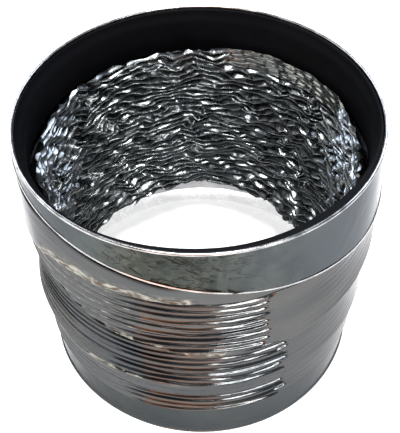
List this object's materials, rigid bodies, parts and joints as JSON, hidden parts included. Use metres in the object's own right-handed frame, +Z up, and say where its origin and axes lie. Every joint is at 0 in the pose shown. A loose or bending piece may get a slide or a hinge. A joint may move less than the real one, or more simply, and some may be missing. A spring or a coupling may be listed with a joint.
{
  "type": "flexible duct connector",
  "caption": "Short double-skin flexible aluminium duct connector, compressed: ribbed mirror-finish jacket and crumpled foil core between two sheet-metal collars, one lined in black.",
  "frame": {"origin": "centre of the bottom collar's rim, on the surface the connector stands on", "axes": "+Z up the duct from the plain bottom collar to the lined top collar; +X the way the duct bends when the bend joints are positive; +Y away from the viewer of the picture"},
  "size_m": [0.1652, 0.1652, 0.1386],
  "materials": {
    "collar_metal": "mirror-rolled sheet",
    "black_rubber": "matt black",
    "foil_tape": "wrinkled foil tape",
    "jacket_film": "mirror-finish metallised film",
    "core_foil": "crumpled foil",
    "spring_wire": "drawn spring wire"
  },
  "bodies": {
    "bottom_end": {"bottom_collar_shell": "collar_metal", "bottom_joint_tape": "foil_tape", "core_bottom_tape": "foil_tape", "core_film": "core_foil", "jacket_film": "jacket_film"},
    "core_turn_01": {"core_wire_turn_01": "spring_wire"},
    "jacket_turn_01": {"jacket_wire_turn_01": "spring_wire"},
    "core_turn_02": {"core_wire_turn_02": "spring_wire"},
    "jacket_turn_02": {"jacket_wire_turn_02": "spring_wire"},
    "core_turn_03": {"core_wire_turn_03": "spring_wire"},
    "jacket_turn_03": {"jacket_wire_turn_03": "spring_wire"},
    "core_turn_04": {"core_wire_turn_04": "spring_wire"},
    "jacket_turn_04": {"jacket_wire_turn_04": "spring_wire"},
    "core_turn_05": {"core_wire_turn_05": "spring_wire"},
    "jacket_turn_05": {"jacket_wire_turn_05": "spring_wire"},
    "core_turn_06": {"core_wire_turn_06": "spring_wire"},
    "jacket_turn_06": {"jacket_wire_turn_06": "spring_wire"},
    "core_turn_07": {"core_wire_turn_07": "spring_wire"},
    "jacket_turn_07": {"jacket_wire_turn_07": "spring_wire"},
    "core_turn_08": {"core_wire_turn_08": "spring_wire"},
    "jacket_turn_08": {"jacket_wire_turn_08": "spring_wire"},
    "core_turn_09": {"core_wire_turn_09": "spring_wire"},
    "jacket_turn_09": {"jacket_wire_turn_09": "spring_wire"},
    "core_turn_10": {"core_wire_turn_10": "spring_wire"},
    "jacket_turn_10": {"jacket_wire_turn_10": "spring_wire"},
    "core_turn_11": {"core_wire_turn_11": "spring_wire"},
    "jacket_turn_11": {"jacket_wire_turn_11": "spring_wire"},
    "core_turn_12": {"core_wire_turn_12": "spring_wire"},
    "jacket_turn_12": {"jacket_wire_turn_12": "spring_wire"},
    "core_turn_13": {"core_wire_turn_13": "spring_wire"},
    "jacket_turn_13": {"jacket_wire_turn_13": "spring_wire"},
    "core_turn_14": {"core_wire_turn_14": "spring_wire"},
    "jacket_turn_14": {"jacket_wire_turn_14": "spring_wire"},
    "core_turn_15": {"core_wire_turn_15": "spring_wire"},
    "jacket_turn_15": {"jacket_wire_turn_15": "spring_wire"},
    "core_turn_16": {"core_wire_turn_16": "spring_wire"},
    "jacket_turn_16": {"jacket_wire_turn_16": "spring_wire"},
    "core_turn_17": {"core_wire_turn_17": "spring_wire"},
    "jacket_turn_17": {"jacket_wire_turn_17": "spring_wire"},
    "core_turn_18": {"core_wire_turn_18": "spring_wire"},
    "jacket_turn_18": {"jacket_wire_turn_18": "spring_wire"},
    "core_turn_19": {"core_wire_turn_19": "spring_wire"},
    "jacket_turn_19": {"jacket_wire_turn_19": "spring_wire"},
    "core_turn_20": {"core_wire_turn_20": "spring_wire"},
    "jacket_turn_20": {"jacket_wire_turn_20": "spring_wire"},
    "core_turn_21": {"core_wire_turn_21": "spring_wire"},
    "jacket_turn_21": {"jacket_wire_turn_21": "spring_wire"},
    "top_end": {"top_collar_shell": "collar_metal", "top_collar_lining": "black_rubber", "top_joint_tape": "foil_tape", "core_top_tape": "foil_tape"}
  },
  "joints": [
    {"name": "stretch_01", "type": "slide", "parent": "bottom_end", "child": "core_turn_01", "axis": [0, 0, 1], "range_m": [0, 0.016], "deforming": ["jacket_film", "core_film"]},
    {"name": "bend_01", "type": "hinge", "parent": "core_turn_01", "child": "jacket_turn_01", "pos_m": [0.0793, 0, 0.02672], "axis": [0, 1, 0], "range_deg": [0, 4.29]},
    {"name": "stretch_02", "type": "slide", "parent": "jacket_turn_01", "child": "core_turn_02", "axis": [0, 0, 1], "range_m": [0, 0.016]},
    {"name": "bend_02", "type": "hinge", "parent": "core_turn_02", "child": "jacket_turn_02", "pos_m": [0.0793, 0, 0.03064], "axis": [0, 1, 0], "range_deg": [0, 4.29]},
    {"name": "stretch_03", "type": "slide", "parent": "jacket_turn_02", "child": "core_turn_03", "axis": [0, 0, 1], "range_m": [0, 0.016]},
    {"name": "bend_03", "type": "hinge", "parent": "core_turn_03", "child": "jacket_turn_03", "pos_m": [0.0793, 0, 0.03456], "axis": [0, 1, 0], "range_deg": [0, 4.29]},
    {"name": "stretch_04", "type": "slide", "parent": "jacket_turn_03", "child": "core_turn_04", "axis": [0, 0, 1], "range_m": [0, 0.016]},
    {"name": "bend_04", "type": "hinge", "parent": "core_turn_04", "child": "jacket_turn_04", "pos_m": [0.0793, 0, 0.03847], "axis": [0, 1, 0], "range_deg": [0, 4.29]},
    {"name": "stretch_05", "type": "slide", "parent": "jacket_turn_04", "child": "core_turn_05", "axis": [0, 0, 1], "range_m": [0, 0.016]},
    {"name": "bend_05", "type": "hinge", "parent": "core_turn_05", "child": "jacket_turn_05", "pos_m": [0.0793, 0, 0.04239], "axis": [0, 1, 0], "range_deg": [0, 4.29]},
    {"name": "stretch_06", "type": "slide", "parent": "jacket_turn_05", "child": "core_turn_06", "axis": [0, 0, 1], "range_m": [0, 0.016]},
    {"name": "bend_06", "type": "hinge", "parent": "core_turn_06", "child": "jacket_turn_06", "pos_m": [0.0793, 0, 0.04631], "axis": [0, 1, 0], "range_deg": [0, 4.29]},
    {"name": "stretch_07", "type": "slide", "parent": "jacket_turn_06", "child": "core_turn_07", "axis": [0, 0, 1], "range_m": [0, 0.016]},
    {"name": "bend_07", "type": "hinge", "parent": "core_turn_07", "child": "jacket_turn_07", "pos_m": [0.0793, 0, 0.05023], "axis": [0, 1, 0], "range_deg": [0, 4.29]},
    {"name": "stretch_08", "type": "slide", "parent": "jacket_turn_07", "child": "core_turn_08", "axis": [0, 0, 1], "range_m": [0, 0.016]},
    {"name": "bend_08", "type": "hinge", "parent": "core_turn_08", "child": "jacket_turn_08", "pos_m": [0.0793, 0, 0.05414], "axis": [0, 1, 0], "range_deg": [0, 4.29]},
    {"name": "stretch_09", "type": "slide", "parent": "jacket_turn_08", "child": "core_turn_09", "axis": [0, 0, 1], "range_m": [0, 0.016]},
    {"name": "bend_09", "type": "hinge", "parent": "core_turn_09", "child": "jacket_turn_09", "pos_m": [0.0793, 0, 0.05806], "axis": [0, 1, 0], "range_deg": [0, 4.29]},
    {"name": "stretch_10", "type": "slide", "parent": "jacket_turn_09", "child": "core_turn_10", "axis": [0, 0, 1], "range_m": [0, 0.016]},
    {"name": "bend_10", "type": "hinge", "parent": "core_turn_10", "child": "jacket_turn_10", "pos_m": [0.0793, 0, 0.06198], "axis": [0, 1, 0], "range_deg": [0, 4.29]},
    {"name": "stretch_11", "type": "slide", "parent": "jacket_turn_10", "child": "core_turn_11", "axis": [0, 0, 1], "range_m": [0, 0.016]},
    {"name": "bend_11", "type": "hinge", "parent": "core_turn_11", "child": "jacket_turn_11", "pos_m": [0.0793, 0, 0.0659], "axis": [0, 1, 0], "range_deg": [0, 4.29]},
    {"name": "stretch_12", "type": "slide", "parent": "jacket_turn_11", "child": "core_turn_12", "axis": [0, 0, 1], "range_m": [0, 0.016]},
    {"name": "bend_12", "type": "hinge", "parent": "core_turn_12", "child": "jacket_turn_12", "pos_m": [0.0793, 0, 0.06982], "axis": [0, 1, 0], "range_deg": [0, 4.29]},
    {"name": "stretch_13", "type": "slide", "parent": "jacket_turn_12", "child": "core_turn_13", "axis": [0, 0, 1], "range_m": [0, 0.016]},
    {"name": "bend_13", "type": "hinge", "parent": "core_turn_13", "child": "jacket_turn_13", "pos_m": [0.0793, 0, 0.07374], "axis": [0, 1, 0], "range_deg": [0, 4.29]},
    {"name": "stretch_14", "type": "slide", "parent": "jacket_turn_13", "child": "core_turn_14", "axis": [0, 0, 1], "range_m": [0, 0.016]},
    {"name": "bend_14", "type": "hinge", "parent": "core_turn_14", "child": "jacket_turn_14", "pos_m": [0.0793, 0, 0.07766], "axis": [0, 1, 0], "range_deg": [0, 4.29]},
    {"name": "stretch_15", "type": "slide", "parent": "jacket_turn_14", "child": "core_turn_15", "axis": [0, 0, 1], "range_m": [0, 0.016]},
    {"name": "bend_15", "type": "hinge", "parent": "core_turn_15", "child": "jacket_turn_15", "pos_m": [0.0793, 0, 0.08157], "axis": [0, 1, 0], "range_deg": [0, 4.29]},
    {"name": "stretch_16", "type": "slide", "parent": "jacket_turn_15", "child": "core_turn_16", "axis": [0, 0, 1], "range_m": [0, 0.016]},
    {"name": "bend_16", "type": "hinge", "parent": "core_turn_16", "child": "jacket_turn_16", "pos_m": [0.0793, 0, 0.08549], "axis": [0, 1, 0], "range_deg": [0, 4.29]},
    {"name": "stretch_17", "type": "slide", "parent": "jacket_turn_16", "child": "core_turn_17", "axis": [0, 0, 1], "range_m": [0, 0.016]},
    {"name": "bend_17", "type": "hinge", "parent": "core_turn_17", "child": "jacket_turn_17", "pos_m": [0.0793, 0, 0.08941], "axis": [0, 1, 0], "range_deg": [0, 4.29]},
    {"name": "stretch_18", "type": "slide", "parent": "jacket_turn_17", "child": "core_turn_18", "axis": [0, 0, 1], "range_m": [0, 0.016]},
    {"name": "bend_18", "type": "hinge", "parent": "core_turn_18", "child": "jacket_turn_18", "pos_m": [0.0793, 0, 0.09333], "axis": [0, 1, 0], "range_deg": [0, 4.29]},
    {"name": "stretch_19", "type": "slide", "parent": "jacket_turn_18", "child": "core_turn_19", "axis": [0, 0, 1], "range_m": [0, 0.016]},
    {"name": "bend_19", "type": "hinge", "parent": "core_turn_19", "child": "jacket_turn_19", "pos_m": [0.0793, 0, 0.09724], "axis": [0, 1, 0], "range_deg": [0, 4.29]},
    {"name": "stretch_20", "type": "slide", "parent": "jacket_turn_19", "child": "core_turn_20", "axis": [0, 0, 1], "range_m": [0, 0.016]},
    {"name": "bend_20", "type": "hinge", "parent": "core_turn_20", "child": "jacket_turn_20", "pos_m": [0.0793, 0, 0.10116], "axis": [0, 1, 0], "range_deg": [0, 4.29]},
    {"name": "stretch_21", "type": "slide", "parent": "jacket_turn_20", "child": "core_turn_21", "axis": [0, 0, 1], "range_m": [0, 0.016]},
    {"name": "bend_21", "type": "hinge", "parent": "core_turn_21", "child": "jacket_turn_21", "pos_m": [0.0793, 0, 0.10508], "axis": [0, 1, 0], "range_deg": [0, 4.29]},
    {"name": "stretch_22", "type": "slide", "parent": "jacket_turn_21", "child": "top_end", "axis": [0, 0, 1], "range_m": [0, 0.016]}
  ],
  "couplings": [
    {"joint": "stretch_02", "follows": "stretch_01", "ratio": 1},
    {"joint": "bend_02", "follows": "bend_01", "ratio": 1},
    {"joint": "stretch_03", "follows": "stretch_01", "ratio": 1},
    {"joint": "bend_03", "follows": "bend_01", "ratio": 1},
    {"joint": "stretch_04", "follows": "stretch_01", "ratio": 1},
    {"joint": "bend_04", "follows": "bend_01", "ratio": 1},
    {"joint": "stretch_05", "follows": "stretch_01", "ratio": 1},
    {"joint": "bend_05", "follows": "bend_01", "ratio": 1},
    {"joint": "stretch_06", "follows": "stretch_01", "ratio": 1},
    {"joint": "bend_06", "follows": "bend_01", "ratio": 1},
    {"joint": "stretch_07", "follows": "stretch_01", "ratio": 1},
    {"joint": "bend_07", "follows": "bend_01", "ratio": 1},
    {"joint": "stretch_08", "follows": "stretch_01", "ratio": 1},
    {"joint": "bend_08", "follows": "bend_01", "ratio": 1},
    {"joint": "stretch_09", "follows": "stretch_01", "ratio": 1},
    {"joint": "bend_09", "follows": "bend_01", "ratio": 1},
    {"joint": "stretch_10", "follows": "stretch_01", "ratio": 1},
    {"joint": "bend_10", "follows": "bend_01", "ratio": 1},
    {"joint": "stretch_11", "follows": "stretch_01", "ratio": 1},
    {"joint": "bend_11", "follows": "bend_01", "ratio": 1},
    {"joint": "stretch_12", "follows": "stretch_01", "ratio": 1},
    {"joint": "bend_12", "follows": "bend_01", "ratio": 1},
    {"joint": "stretch_13", "follows": "stretch_01", "ratio": 1},
    {"joint": "bend_13", "follows": "bend_01", "ratio": 1},
    {"joint": "stretch_14", "follows": "stretch_01", "ratio": 1},
    {"joint": "bend_14", "follows": "bend_01", "ratio": 1},
    {"joint": "stretch_15", "follows": "stretch_01", "ratio": 1},
    {"joint": "bend_15", "follows": "bend_01", "ratio": 1},
    {"joint": "stretch_16", "follows": "stretch_01", "ratio": 1},
    {"joint": "bend_16", "follows": "bend_01", "ratio": 1},
    {"joint": "stretch_17", "follows": "stretch_01", "ratio": 1},
    {"joint": "bend_17", "follows": "bend_01", "ratio": 1},
    {"joint": "stretch_18", "follows": "stretch_01", "ratio": 1},
    {"joint": "bend_18", "follows": "bend_01", "ratio": 1},
    {"joint": "stretch_19", "follows": "stretch_01", "ratio": 1},
    {"joint": "bend_19", "follows": "bend_01", "ratio": 1},
    {"joint": "stretch_20", "follows": "stretch_01", "ratio": 1},
    {"joint": "bend_20", "follows": "bend_01", "ratio": 1},
    {"joint": "stretch_21", "follows": "stretch_01", "ratio": 1},
    {"joint": "bend_21", "follows": "bend_01", "ratio": 1},
    {"joint": "stretch_22", "follows": "stretch_01", "ratio": 1}
  ]
}
